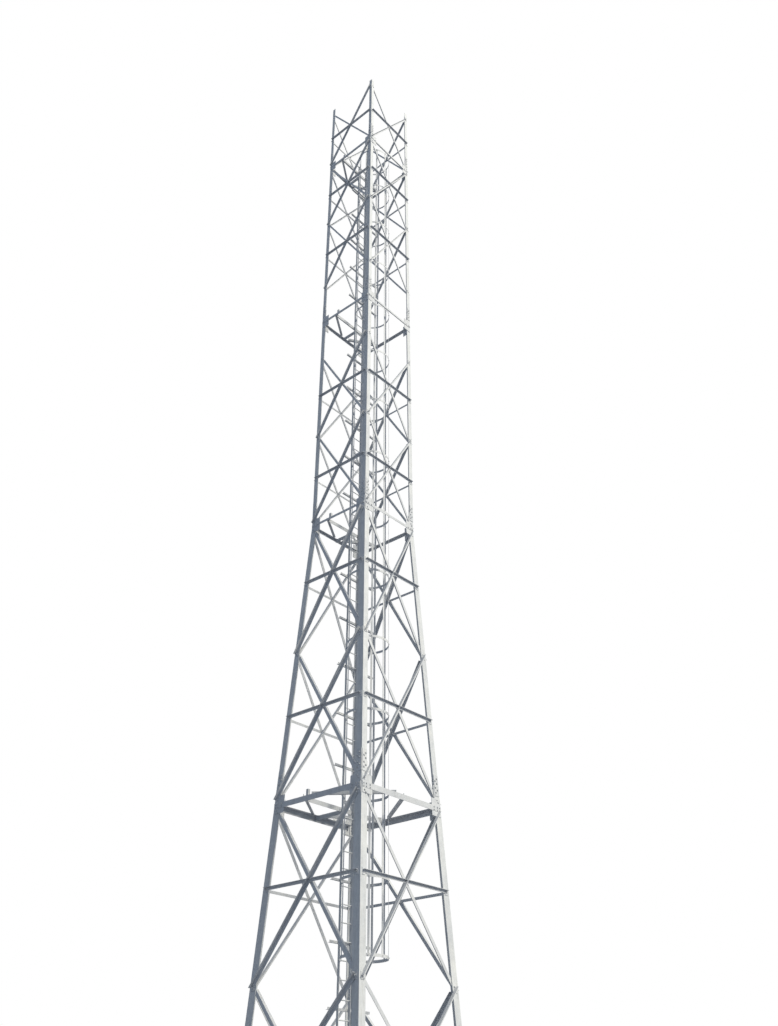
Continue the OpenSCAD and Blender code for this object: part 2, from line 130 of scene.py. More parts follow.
# A Finish is one material. Its method add makes any other node.
class Finish:
    def __init__(self, name):
        self.material = bpy.data.materials.new(name)
        self.material.use_nodes = True
        self.tree = self.material.node_tree
        self.shader = self.tree.nodes["Principled BSDF"]

    def add(self, kind, settings, inputs, output=0):
        node = self.tree.nodes.new(kind)
        for key, value in settings.items():
            setattr(node, key, value)
        for key, value in inputs.items():
            self.feed(node.inputs[key], value)
        return Wire(self, node.outputs[output])

    def feed(self, socket, value):
        if isinstance(value, Wire):
            self.tree.links.new(value.socket, socket)
        else:
            socket.default_value = value

    def noise(self, place, scale, detail):
        return self.add("ShaderNodeTexNoise", {},
                        {"Vector": place, "Scale": scale, "Detail": detail, "Roughness": 0.6})

    # A Mix node has several sockets named A and B: 6 and 7 are its colours, and output 2 the blend.
    def blend(self, share, first, second):
        return self.add("ShaderNodeMix", {"data_type": "RGBA"}, {0: share, 6: first, 7: second}, 2)

    def part(self, vector, axis):
        return self.add("ShaderNodeSeparateXYZ", {}, {"Vector": vector}, axis)


foot_side = 2.6
axis = foot_side / 2
flake_grey = (0.66, 0.70, 0.74, 1)
run_grey = (0.36, 0.35, 0.33, 1)
bloom_white = (0.80, 0.80, 0.77, 1)
dust_brown = (0.50, 0.47, 0.41, 1)
soil_brown = (0.33, 0.27, 0.20, 1)
bare_steel = (0.72, 0.72, 0.71, 1)
tread_edge, tread_middle = 0.125, 0.085


def zinc(name, tone, flake=0.012, age=1.0, splash=0.0, worn_rungs=False):
    finish = Finish(name)
    place = finish.add("ShaderNodeTexCoord", {}, {}, "Object")
    facing_up = finish.part(finish.add("ShaderNodeNewGeometry", {}, {}, "Normal"), "Z")
    patina = finish.noise(place, 1.7, 5).between(0.36, 0.66)
    cloud = finish.noise(place, 9, 4).between(0.38, 0.66)
    flakes = finish.part(finish.add("ShaderNodeTexVoronoi", {},
                                    {"Vector": place, "Scale": 1 / flake}, "Color"), "X")
    tall = finish.add("ShaderNodeMapping", {}, {"Vector": place, "Scale": (34, 34, 1.6)})
    runs = finish.noise(tall, 1, 4).between(0.50, 0.74)
    bloom = finish.noise(place, 5.5, 8).between(0.56, 0.68) * patina
    grain = finish.noise(place, 320, 3)
    bright = tuple(min(1, 1.10 * c) for c in tone) + (1,)
    dull = (0.80 * tone[0], 0.82 * tone[1], 0.86 * tone[2], 1)
    colour = finish.blend(patina * 0.65 + cloud * 0.35, dull, bright)
    colour = finish.blend(flakes * 0.30, colour, flake_grey)
    colour = finish.blend(runs * (0.34 * age), colour, run_grey)
    colour = finish.blend(bloom * (0.42 * age), colour, bloom_white)
    dust = facing_up.between(0.5, 0.9) * cloud * (0.5 * age)
    colour = finish.blend(dust, colour, dust_brown)
    rough = 0.60 + patina * 0.08 + cloud * 0.08 + dust * 0.3 + bloom * 0.16 - flakes * 0.07
    metal = 0.06 + flakes * 0.08 - bloom * 0.06
    if splash:
        soil = finish.part(place, "Z").between(splash, 0.02) * cloud.between(0.0, 0.9)
        colour = finish.blend(soil * 0.75, colour, soil_brown)
        rough = rough + soil * 0.22
        metal = metal - soil * 0.1
    if worn_rungs:
        tread = abs(finish.part(place, "X") - axis).between(tread_edge, tread_middle)
        tread = tread * facing_up.between(0.1, 0.7)
        colour = finish.blend(tread * 0.6, colour, bare_steel)
        rough = rough - tread * 0.26
        metal = metal + tread * 0.45
    height = flakes * 0.25 + grain * 0.45 + cloud * 0.5 + bloom
    bump = finish.add("ShaderNodeBump", {}, {"Strength": 0.2, "Distance": 0.0010, "Height": height})
    finish.feed(finish.shader.inputs["Base Color"], colour)
    finish.feed(finish.shader.inputs["Roughness"], rough)
    finish.feed(finish.shader.inputs["Metallic"], metal)
    finish.feed(finish.shader.inputs["Specular IOR Level"], 0.35)
    finish.feed(finish.shader.inputs["Normal"], bump)
    return finish.material


def coat(names, material):
    for name in names:
        nodes[name].data.materials.clear()
        nodes[name].data.materials.append(material)


foot_zinc = zinc("foot_zinc", (0.55, 0.56, 0.56), age=1.5, splash=0.35)
coat(["base_plates"], foot_zinc)

# The weld seams of the feet: fillet beads along both sides of each rib and round each leg,
# laid by hand in small ripples and galvanised over.
lean = 0.05
heel = -0.075
leg_wide = (0.150, 0.130, 0.110, 0.100, 0.090)
leg_thick = (0.014, 0.012, 0.010, 0.008, 0.007)
plate_top = 0.030
rib_top = 0.230
rib_half = 0.006
rib_outer_end, rib_inner_end = heel - 0.110, heel + 0.260
leg_bead, inside_bead, rib_bead = 0.007, 0.006, 0.005
ripples, groove = 24, 0.80


# Names the primitive that was just added and opens it in edit mode.
def start(part_name):
    part = bpy.context.object
    part.name = part_name
    bpy.ops.object.mode_set(mode="EDIT")
    return part


# Selects the corners, edges or faces whose middle is in a wanted place, and nothing else.
def choose(part, kind, wanted):
    bpy.ops.mesh.select_mode(type=kind)
    bpy.ops.mesh.select_all(action="DESELECT")
    mesh = bmesh.from_edit_mesh(part.data)
    items = {"VERT": mesh.verts, "EDGE": mesh.edges, "FACE": mesh.faces}[kind]
    for item in items:
        corners = [item] if kind == "VERT" else item.verts
        middle = sum((corner.co for corner in corners), Vector()) / len(corners)
        item.select_set(wanted(middle))
    bmesh.update_edit_mesh(part.data)


# Puts a copy of a shape, with its own mesh, at each spot, and takes the first one away.
def spread(shape, spots):
    copies = []
    for spot in spots:
        copy = shape.copy()
        copy.data = shape.data.copy()
        copy.matrix_world = spot
        bpy.context.scene.collection.objects.link(copy)
        copies.append(copy)
    bpy.data.objects.remove(shape)
    return copies


# Joins the copies to one finished piece at the origin, and says what it rides on.
def gather(name, copies, material):
    bpy.ops.object.select_all(action="DESELECT")
    for copy in copies:
        copy.select_set(True)
    bpy.context.view_layer.objects.active = copies[0]
    bpy.ops.object.transform_apply(location=True, rotation=True, scale=True)
    bpy.ops.object.join()
    bpy.ops.object.shade_smooth_by_angle(angle=math.radians(34))
    piece = bpy.context.object
    piece.name = name
    piece.data.materials.clear()
    piece.data.materials.append(material)
    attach(piece, "root")


# Carries a place at the near foot round the tower's axis, to one of the four corners.
def quarter(corner):
    turn = Matrix.Rotation(math.radians(90) * corner, 4, "Z")
    return Matrix.Translation((axis, axis, 0)) @ turn @ Matrix.Translation((-axis, -axis, 0))


# Stretches an upright shape of unit length from the first point to the last.
def along(first, last, thick):
    run = Vector(last) - Vector(first)
    turn = run.to_track_quat("Z", "Y").to_matrix().to_4x4()
    return Matrix.Translation(first) @ turn @ Matrix.Diagonal((thick, thick, run.length, 1))


bpy.ops.object.select_all(action="DESELECT")
bpy.ops.mesh.primitive_cylinder_add(vertices=8, radius=1, depth=1, location=(0, 0, 0.5))
bpy.ops.object.transform_apply(location=True)
seam = start("seam")
choose(seam, "EDGE", lambda p: 0.4 < p.z < 0.6)
bpy.ops.mesh.subdivide(number_cuts=ripples - 1)
choose(seam, "VERT", lambda p: 0.01 < p.z < 0.99 and round(p.z * ripples) % 2 == 1)
bpy.ops.transform.resize(value=(groove, groove, 1))
bpy.ops.object.mode_set(mode="OBJECT")
outer = heel + lean * plate_top
inner = outer + leg_thick[0]
top_outer = heel + lean * rib_top
top_inner = top_outer + leg_thick[0]
flange_end = outer + leg_wide[0]
seams = [((outer, outer, plate_top), (flange_end, outer, plate_top), leg_bead),
         ((inner, inner, plate_top), (flange_end, inner, plate_top), inside_bead)]
for x in (-rib_half, rib_half):
    seams += [((x, outer, plate_top), (x, rib_outer_end, plate_top), rib_bead),
              ((x, inner, plate_top), (x, rib_inner_end, plate_top), rib_bead),
              ((x, outer, plate_top), (x, top_outer, rib_top), rib_bead),
              ((x, inner, plate_top), (x, top_inner, rib_top), rib_bead)]
# The other flange has the same seams, with x and y changed over.
seams += [((a[1], a[0], a[2]), (b[1], b[0], b[2]), bead) for a, b, bead in seams]
seam_spots = [quarter(corner) @ along(*line) for corner in range(4) for line in seams]
gather("foot_welds", spread(seam, seam_spots), foot_zinc)

# The anchor bolts: threaded rods that stand up out of the footing through each base plate's four
# holes, with a thick square washer, a nut and a thinner lock nut on each, all galvanised.
bolt_zinc = zinc("bolt_zinc", (0.50, 0.51, 0.52), flake=0.004, age=1.2)
anchor_out = 0.140
anchor_spots = [quarter(corner) @ Matrix.Translation((x, y, 0)) for corner in range(4)
                for x in (-anchor_out, anchor_out) for y in (-anchor_out, anchor_out)]
rod_radius, rod_length, rod_middle = 0.0165, 0.082, 0.042
ridges, half_pitch, root = 10, 0.00175, 0.88
bpy.ops.object.select_all(action="DESELECT")
bpy.ops.mesh.primitive_cylinder_add(vertices=18, radius=rod_radius, depth=rod_length,
                                    location=(0, 0, rod_middle))
bpy.ops.object.transform_apply(location=True)
rod = start("rod")
choose(rod, "FACE", lambda p: p.z > rod_middle + rod_length / 2 - 0.001)
for ridge in range(ridges):
    for narrowing in (root, 1 / root):
        bpy.ops.mesh.extrude_region_move(TRANSFORM_OT_translate={"value": (0, 0, half_pitch)})
        bpy.ops.transform.resize(value=(narrowing, narrowing, 1))
bpy.ops.mesh.extrude_region_move(TRANSFORM_OT_translate={"value": (0, 0, 0.003)})
bpy.ops.transform.resize(value=(0.80, 0.80, 1))
bpy.ops.object.mode_set(mode="OBJECT")
gather("anchor_rods", spread(rod, anchor_spots), bolt_zinc)

washer_side, washer_thick = 0.070, 0.008
bpy.ops.object.select_all(action="DESELECT")
bpy.ops.mesh.primitive_cube_add(size=1, location=(0, 0, plate_top + washer_thick / 2))
bpy.ops.transform.resize(value=(washer_side, washer_side, washer_thick))
bpy.ops.object.transform_apply(location=True, scale=True)
square = start("square")
choose(square, "EDGE", lambda p: min(abs(p.x), abs(p.y)) > washer_side / 2 - 0.001)
bpy.ops.mesh.bevel(offset=0.006, segments=3, affect="EDGES")
choose(square, "FACE", lambda p: p.z > plate_top + washer_thick - 0.0005)
bpy.ops.mesh.bevel(offset=0.001, segments=1, affect="EDGES")
bpy.ops.object.mode_set(mode="OBJECT")
washer_turn = 0.1
washer_spots = [spot @ Matrix.Rotation(washer_turn * n, 4, "Z")
                for n, spot in enumerate(anchor_spots)]
gather("anchor_washers", spread(square, washer_spots), foot_zinc)

nut_radius, nut_high, lock_nut_share = 0.0289, 0.027, 0.65
nut_seat = plate_top + washer_thick
lock_nut_seat = nut_seat + nut_high + 0.0005
nut_turn, lock_nut_turn = 0.7, 1.1
bpy.ops.object.select_all(action="DESELECT")
bpy.ops.mesh.primitive_cylinder_add(vertices=6, radius=nut_radius, depth=nut_high,
                                    location=(0, 0, nut_high / 2))
bpy.ops.object.transform_apply(location=True)
nut = start("nut")
choose(nut, "FACE", lambda p: abs(p.z - nut_high / 2) > nut_high / 2 - 0.001)
bpy.ops.mesh.bevel(offset=0.0028, segments=2, affect="EDGES")
bpy.ops.object.mode_set(mode="OBJECT")
nut_spots = [spot @ Matrix.Translation((0, 0, nut_seat)) @ Matrix.Rotation(nut_turn * n, 4, "Z")
             for n, spot in enumerate(anchor_spots)]
for n, spot in enumerate(anchor_spots):
    nut_spots.append(spot @ Matrix.Translation((0, 0, lock_nut_seat))
                     @ Matrix.Rotation(lock_nut_turn * n, 4, "Z")
                     @ Matrix.Diagonal((1, 1, lock_nut_share, 1)))
gather("anchor_nuts", spread(nut, nut_spots), bolt_zinc)

# The legs: equal steel angles, galvanised, leaning in below the bend and upright over it, each
# section a size smaller than the one under it. The lowest carry a film of splashed soil.
coat(["legs_base"], zinc("leg_foot_zinc", (0.60, 0.61, 0.62), flake=0.016, splash=0.55))
leg_zinc = zinc("leg_zinc", (0.62, 0.63, 0.64), flake=0.016)
coat(["legs_lower", "legs_middle", "legs_upper", "legs_crown"], leg_zinc)

# The leg joints: galvanised cover plates on both flanges and an angle inside, over a butt joint,
# clamped by two staggered rows of bolts, with a washer under each head and nut. Head and nut are
# modelled once, for a 20 mm bolt, and scaled down for the smaller ones.
joint_zinc = zinc("joint_zinc", (0.57, 0.58, 0.60), flake=0.010)
coat(["joint_1", "joint_2", "joint_3", "joint_4"], joint_zinc)
width_top = 1.550
bend = 12.0
washer_radius, washer_depth, washer_middle = 0.0185, 0.004, 0.001
washer_face = washer_middle + washer_depth / 2
hexagon_radius, hexagon_chamfer = 0.0173, 0.0018
shank_radius, shank_chamfer = 0.010, 0.0015
head_top, nut_top, shank_foot, shank_top = 0.0155, 0.019, 0.017, 0.027
m20, m16, m14, m12, m11, m10, m9, m8 = 1.0, 0.8, 0.7, 0.6, 0.55, 0.5, 0.45, 0.4


def half(z):
    return width_top / 2 + lean * max(0, bend - z)


def bolt_washer(part_name):
    bpy.ops.object.select_all(action="DESELECT")
    bpy.ops.mesh.primitive_cylinder_add(vertices=14, radius=washer_radius, depth=washer_depth,
                                        location=(0, 0, washer_middle))
    bpy.ops.object.transform_apply(location=True)
    return start(part_name)


def stack(part, vertices, radius, foot, top, chamfer):
    bpy.ops.mesh.select_all(action="DESELECT")
    bpy.ops.mesh.primitive_cylinder_add(vertices=vertices, radius=radius, depth=top - foot,
                                        location=(0, 0, (foot + top) / 2))
    choose(part, "FACE", lambda p: p.z > top - 0.0001)
    bpy.ops.mesh.bevel(offset=chamfer, segments=1, affect="EDGES")


def bolt_head():
    head = bolt_washer("bolt_head")
    stack(head, 6, hexagon_radius, washer_face, head_top, hexagon_chamfer)
    bpy.ops.object.mode_set(mode="OBJECT")
    return head


def bolt_nut():
    end = bolt_washer("bolt_nut")
    stack(end, 6, hexagon_radius, washer_face, nut_top, hexagon_chamfer)
    stack(end, 8, shank_radius, shank_foot, shank_top, shank_chamfer)
    bpy.ops.object.mode_set(mode="OBJECT")
    return end


# Collects the bolts of one piece. Each head and nut is turned a little further than the last.
class Bolts:
    head_turn, nut_turn = 0.7, 1.3

    def __init__(self):
        self.heads = []
        self.nuts = []

    def seat(self, place, point, out, size, turn):
        spot = place @ Vector(point)
        away = (place.to_3x3() @ Vector(out)).to_track_quat("Z", "Y").to_matrix().to_4x4()
        return (Matrix.Translation(spot) @ away @ Matrix.Rotation(turn, 4, "Z")
                @ Matrix.Scale(size, 4))

    def drive(self, place, outside, inside, size):
        outside, inside = Vector(outside), Vector(inside)
        out = (outside - inside).normalized()
        head_turn, nut_turn = self.head_turn * len(self.heads), self.nut_turn * len(self.nuts)
        self.heads.append(self.seat(place, outside, out, size, head_turn))
        self.nuts.append(self.seat(place, inside, -out, size, nut_turn))

    def fit(self, name, slot_name):
        gather(name, spread(bolt_head(), self.heads) + spread(bolt_nut(), self.nuts),
               bolt_zinc)


level_heights = (6.0, 12.0, 18.0, 24.0)
joint_over_level = 0.420
joint_rises = (-0.130, -0.085, -0.040, 0.040, 0.085, 0.130)
joint_rows = ((0.048, 0.095), (0.045, 0.080), (0.042, 0.072), (0.040, 0.062))
cover_face = -0.008
inner_angle_faces = (0.024, 0.022, 0.020, 0.018)
leg_up = Vector((lean, lean, 1)).normalized()
leg_first = Vector((1 + lean * lean, -lean * lean, -lean)).normalized()
leg_second = leg_up.cross(leg_first)
for i, level in enumerate(level_heights):
    joint_z = level + joint_over_level
    inset = axis - half(joint_z)
    if joint_z < bend:
        leg_place = Matrix((leg_first, leg_second, leg_up)).transposed().to_4x4()
    else:
        leg_place = Matrix.Identity(4)
    leg_place = Matrix.Translation((inset, inset, joint_z)) @ leg_place
    inside = inner_angle_faces[i]
    size = m20 if i == 0 else m16
    bolts = Bolts()
    for corner in range(4):
        place = quarter(corner) @ leg_place
        for n, rise in enumerate(joint_rises):
            first, second = joint_rows[i][n % 2], joint_rows[i][1 - n % 2]
            bolts.drive(place, (first, cover_face, rise), (first, inside, rise), size)
            bolts.drive(place, (cover_face, second, rise), (inside, second, rise), size)
    bolts.fit("joint_%d_bolts" % (i + 1), "joint_steel")

# The four sides: crossed diagonals and light level bars of galvanised angle. Of two crossed
# diagonals one lies outside of the leg flanges and one inside, with a spacer where they cross.
# Two bolts hold each end, one holds each crossing.
side_zinc = zinc("side_zinc", (0.58, 0.59, 0.61), flake=0.009)
low_side_zinc = zinc("low_side_zinc", (0.57, 0.58, 0.60), flake=0.009, splash=0.7)
sides = ("front", "right", "back", "left")
coat(["base_" + side for side in sides], low_side_zinc)
coat([part + "_" + side for part in ("lower", "middle", "upper", "crown") for side in sides],
     side_zinc)
pack = 0.008
diagonal_pitch, level_bar_pitch = 0.048, 0.030
gusset_zone = 0.150


def side_place(side, leaning):
    place = quarter(side) @ Matrix.Translation((axis, axis, 0))
    if not leaning:
        return place @ Matrix.Translation((0, -width_top / 2, 0))
    foot = Matrix.Translation((0, -width_top / 2 - lean * bend, 0))
    return place @ foot @ Matrix.Rotation(-math.atan(lean), 4, "X")


def brace(bolts, panels, leaning, leg_w, leg_t, seat, diagonal_t, level_t, size):
    stretch = math.hypot(1, lean) if leaning else 1
    middle = leg_w / 2
    outside, inside = -pack - diagonal_t, seat + diagonal_t
    for side in range(4):
        place = side_place(side, leaning)
        for z_foot, z_head in panels:
            x_foot, x_head = half(z_foot) - middle, half(z_head) - middle
            z_cross = z_foot + (z_head - z_foot) * x_foot / (x_foot + x_head)
            x_cross = half(z_cross) - middle
            bar = Vector((x_foot + x_head, 0, (z_head - z_foot) * stretch)).normalized()
            for step in (0, diagonal_pitch):
                for x, z, way in ((x_foot, z_foot, 1), (x_head, z_head, -1)):
                    dx, dz = x - step * bar.x, z * stretch + way * step * bar.z
                    outer_end = -dx if way == 1 else dx
                    bolts.drive(place, (outer_end, outside, dz), (outer_end, leg_t, dz), size)
                    near_level = min(abs(z - level) for level in level_heights) < gusset_zone
                    skin = -pack if near_level else 0
                    bolts.drive(place, (-outer_end, skin, dz), (-outer_end, inside, dz), size)
            z = z_cross * stretch
            bolts.drive(place, (0, outside, z), (0, inside, z), size)
            for end in (-1, 1):
                for step in (0, level_bar_pitch):
                    x = end * (x_cross - step)
                    bolts.drive(place, (x, -pack - level_t, z), (x, leg_t, z), 0.8 * size)


# Each row has the section, its panels, whether it leans, how deep the inner diagonals' seat lies,
# the thickness of the diagonals and of the light level bars, and the size of the bolts.
bracing = (
    ("base", ((0.34, 3.0), (3.0, 5.89)), True, 0.014, 0.007, 0.005, m20),
    ("lower", ((6.1, 9.0), (9.0, 11.89)), True, 0.014, 0.006, 0.005, m16),
    ("middle", ((12.1, 14.4), (14.4, 16.8)), False, 0.012, 0.005, 0.004, m16),
    ("upper", ((19.2, 21.6), (21.6, 23.89)), False, 0.008, 0.005, 0.004, m16),
    ("crown", ((24.1, 26.4),), False, 0.008, 0.005, 0.004, m16),
)
for i, (part, panels, leaning, *sizes) in enumerate(bracing):
    bolts = Bolts()
    brace(bolts, panels, leaning, leg_wide[i], leg_thick[i], *sizes)
    bolts.fit(part + "_side_bolts", "bracing_steel")

# The level bars at the joint levels: angles with a shelf turned inwards, on gusset plates at each
# leg, bolted through bar, gusset and leg, and once more through bar and gusset. The lowest are
# wide enough for two rows of bolts, the upper ones have one row.
level_bar_thick = 0.008
level_bar_face = -pack - level_bar_thick
flange_shares = (0.3, 0.72)
past_flange = 0.055
low_row, high_row = -0.046, 0.002
for i, level in enumerate(level_heights):
    rows = (low_row, high_row) if i == 0 else (high_row,)
    bolts = Bolts()
    for side in range(4):
        place = quarter(side) @ Matrix.Translation((axis, axis - half(level), 0))
        for end in (-1, 1):
            for row in rows:
                z = level + row
                flange_back = half(level) - half(z) + leg_thick[i]
                for share in flange_shares:
                    x = end * (half(level) - share * leg_wide[i])
                    bolts.drive(place, (x, level_bar_face, z), (x, flange_back, z), m16)
                x = end * (half(level) - leg_wide[i] - past_flange)
                bolts.drive(place, (x, level_bar_face, z), (x, 0.0, z), m16)
    bolts.fit("level_%d_bolts" % (i + 1), "bracing_steel")

# The plan bars: angles laid level inside the tower at each joint level. Corner braces lie on the
# level bars' shelves, and the ladder beam hangs under them, bolted through from above.
plan_zinc = zinc("plan_zinc", (0.52, 0.53, 0.55), flake=0.010, age=1.3)
coat(["plan_1", "plan_2", "plan_3", "plan_4", "cable_bars"], plan_zinc)
shelf_high, shelf_low, plan_thick = 0.030, 0.022, 0.008
brace_line, brace_in = 0.343, 0.055
corner_cut, heel_line = 0.120, 0.040
back_brace_tip, front_brace_foot = 0.340, 0.160
brace_steps, foot_step = (0.020, 0.050), 0.025
narrow_brace_out, narrow_brace_in = 0.136, 0.031
beam_line, wide_shelf_in, narrow_shelf_in = 0.300, 0.030, 0.022
stub_middle, stub_in, stub_skew = 0.006, 0.045, 0.012
stub_apart, narrow_stub_apart = 0.016, 0.018


def drop(bolts, x, y, top, bottom, size=m16):
    bolts.drive(Matrix.Translation((axis, axis, 0)), (x, y, top), (x, y, bottom), size)


for i, level in enumerate(level_heights):
    h = half(level)
    shelf_top, shelf_under = level + shelf_high, level + shelf_low
    over, under = shelf_top + plan_thick, shelf_under - plan_thick
    bolts = Bolts()
    for end in (-1, 1):
        drop(bolts, end * (h - brace_in), brace_line, over, under, m12)
        if i == 0:
            foot = Vector((end * corner_cut, h - heel_line))
            run = (Vector((end * (h - heel_line), back_brace_tip)) - foot).normalized()
            for step in brace_steps:
                drop(bolts, *(foot + step * run), over, shelf_under)
            drop(bolts, end * (h - wide_shelf_in), beam_line, shelf_top, under)
            x, y = stub_middle + end * stub_apart, h - stub_in + end * stub_skew
            drop(bolts, x, y, shelf_top, under)
            foot = Vector((end * (h - heel_line), front_brace_foot))
            tip = Vector((end * corner_cut, heel_line - h))
            run = (tip - foot).normalized()
            drop(bolts, *(foot + foot_step * run), over, shelf_under)
            for step in brace_steps:
                drop(bolts, *(tip - step * run), over, shelf_under)
        else:
            size = m8 if end < 0 else m10
            drop(bolts, end * narrow_brace_out, h - narrow_brace_in, over, shelf_under, size)
            drop(bolts, end * (h - narrow_shelf_in), beam_line, shelf_top, under, m14)
            x, y = stub_middle + end * narrow_stub_apart, h - narrow_shelf_in
            drop(bolts, x, y, shelf_top, under, m14)
    bolts.fit("plan_%d_bolts" % (i + 1), "plan_steel")

# The packing rings: thick washers that fill the gap between each corner brace and the ladder beam
# under it, where the upper level bars' narrow shelf doesn't reach.
packer_radius = 0.013
bpy.ops.object.select_all(action="DESELECT")
bpy.ops.mesh.primitive_cylinder_add(vertices=16, radius=packer_radius, depth=plan_thick,
                                    location=(0, 0, plan_thick / 2))
bpy.ops.object.transform_apply(location=True)
packer = start("packer")
choose(packer, "FACE", lambda p: abs(p.z - plan_thick / 2) > plan_thick / 2 - 0.0001)
bpy.ops.mesh.bevel(offset=0.001, segments=2, affect="EDGES")
bpy.ops.object.mode_set(mode="OBJECT")
packer_spots = []
for level in level_heights[1:]:
    for end in (-1, 1):
        out = end * (half(level) - brace_in)
        packer_spots.append(Matrix.Translation((axis + out, axis + brace_line, level + shelf_low)))
gather("beam_packers", spread(packer, packer_spots), plan_zinc)

# The ladder: two flat bar stiles with round rungs pushed through and welded all round. The
# rungs' middles are worn smooth by boots. A ring bead and an end plug are modelled once.
ladder_zinc = zinc("ladder_zinc", (0.60, 0.61, 0.62), flake=0.008, worn_rungs=True)
coat(["ladder"], ladder_zinc)
ladder_line = axis + 0.250
stile, stile_half = 0.140, 0.005
rung_low, rung_pitch, rung_count = 0.450, 0.300, 80
rungs = [rung_low + rung_pitch * n for n in range(rung_count)]
bead_high, bead_foot, bead_top = 0.006, 0.0150, 0.0104
plug_radius, plug_thick, plug_middle = 0.0125, 0.003, -0.0115
bpy.ops.object.select_all(action="DESELECT")
bpy.ops.mesh.primitive_cone_add(vertices=12, radius1=bead_foot, radius2=bead_top,
                                depth=bead_high, location=(0, 0, bead_high / 2))
bpy.ops.object.transform_apply(location=True)
ring = start("ring")
choose(ring, "VERT",
       lambda p: p.z < 0.001 and round(math.degrees(math.atan2(p.y, p.x)) / 30) % 2 == 0)
bpy.ops.transform.resize(value=(1.10, 1.10, 1))
bpy.ops.mesh.select_all(action="DESELECT")
bpy.ops.mesh.primitive_cylinder_add(vertices=10, radius=plug_radius, depth=plug_thick,
                                    location=(0, 0, plug_middle))
choose(ring, "FACE", lambda p: p.z < plug_middle - 0.001)
bpy.ops.transform.resize(value=(0.7, 0.7, 1))
bpy.ops.object.mode_set(mode="OBJECT")
ring_spots = []
for z in rungs:
    for end in (-1, 1):
        ring_spots.append(Matrix.Translation((axis + end * (stile - stile_half), ladder_line, z))
                          @ Matrix.Rotation(-end * math.pi / 2, 4, "Y"))
gather("rung_welds", spread(ring, ring_spots), ladder_zinc)

# The fishplates: short pieces of flat steel bar with rounded corners, galvanised, that join the
# ladder's lengths on the outside of each stile, with four bolts in each.
fish_thick, fish_wide, fish_long = 0.008, 0.042, 0.230
fish_middle, fish_face = stile_half + fish_thick / 2, stile_half + fish_thick
fish_bolts = (-0.088, -0.040, 0.040, 0.088)
bpy.ops.object.select_all(action="DESELECT")
bpy.ops.mesh.primitive_cube_add(size=1, location=(0, 0, 0))
bpy.ops.transform.resize(value=(fish_thick, fish_wide, fish_long))
bpy.ops.object.transform_apply(scale=True)
fishplate = start("fishplate")
choose(fishplate, "EDGE",
       lambda p: abs(p.y) > fish_wide / 2 - 0.001 and abs(p.z) > fish_long / 2 - 0.001)
bpy.ops.mesh.bevel(offset=0.006, segments=3, affect="EDGES")
choose(fishplate, "FACE", lambda p: abs(p.x) > fish_thick / 2 - 0.0001)
bpy.ops.mesh.bevel(offset=0.0008, segments=1, affect="EDGES")
bpy.ops.object.mode_set(mode="OBJECT")
splices = (3.0, 6.5, 9.5, 12.5, 15.5, 18.5, 21.5)
place = Matrix.Translation((axis, ladder_line, 0))
fish_spots, bolts = [], Bolts()
for z in splices:
    for end in (-1, 1):
        fish_spots.append(place @ Matrix.Translation((end * (stile + fish_middle), 0, z)))
        outside, inside = end * (stile + fish_face), end * (stile - stile_half)
        for step in fish_bolts:
            bolts.drive(place, (outside, 0, z + step), (inside, 0, z + step), m11)
gather("ladder_fishplates", spread(fishplate, fish_spots), ladder_zinc)
bolts.fit("fishplate_bolts", "ladder_steel")

# Cleats hold the ladder to its beams at the four joint levels: short pieces of galvanised steel
# angle with one bolt through the stile and one through the beam.
cleat_thick, cleat_deep, cleat_high, cleat_leg = 0.006, 0.054, 0.060, 0.050
cleat_under_level, beam_face = 0.020, 0.275
stile_bolt_y, beam_bolt_out = 0.248, 0.036
bpy.ops.object.select_all(action="DESELECT")
bpy.ops.mesh.primitive_cube_add(size=1, location=(cleat_thick / 2, -cleat_deep / 2, 0))
bpy.ops.transform.resize(value=(cleat_thick, cleat_deep, cleat_high))
bpy.ops.object.transform_apply(location=True, scale=True)
cleat = start("cleat")
bpy.ops.mesh.select_all(action="SELECT")
bpy.ops.mesh.bisect(plane_co=(0, -cleat_thick, 0), plane_no=(0, 1, 0))
choose(cleat, "FACE", lambda p: p.x > cleat_thick - 0.0001 and p.y > -cleat_thick)
bpy.ops.mesh.extrude_region_move(TRANSFORM_OT_translate={"value": (cleat_leg, 0, 0)})
cleat_end = cleat_thick + cleat_leg
choose(cleat, "EDGE", lambda p: abs(p.z) > cleat_high / 2 - 0.001
       and (p.y < 0.001 - cleat_deep or p.x > cleat_end - 0.001))
bpy.ops.mesh.bevel(offset=0.004, segments=2, affect="EDGES")
bpy.ops.object.mode_set(mode="OBJECT")
cleat_spots, bolts = [], Bolts()
place = Matrix.Translation((axis, axis, 0))
cleat_front, beam_back = beam_face - cleat_thick, beam_face + plan_thick
for level in level_heights:
    z = level - cleat_under_level
    for end in (-1, 1):
        out = end * (stile + stile_half)
        cleat_spots.append(Matrix.Translation((axis + out, axis + beam_face, z))
                           @ Matrix.Diagonal((end, 1, 1, 1)))
        outside, inside = out + end * cleat_thick, end * (stile - stile_half)
        bolts.drive(place, (outside, stile_bolt_y, z), (inside, stile_bolt_y, z), m12)
        x = end * (stile + beam_bolt_out)
        bolts.drive(place, (x, cleat_front, z), (x, beam_back, z), m12)
gather("ladder_cleats", spread(cleat, cleat_spots), ladder_zinc)
bpy.ops.object.mode_set(mode="EDIT")
bpy.ops.mesh.select_all(action="SELECT")
bpy.ops.mesh.normals_make_consistent(inside=False)
bpy.ops.object.mode_set(mode="OBJECT")
bolts.fit("cleat_bolts", "ladder_steel")

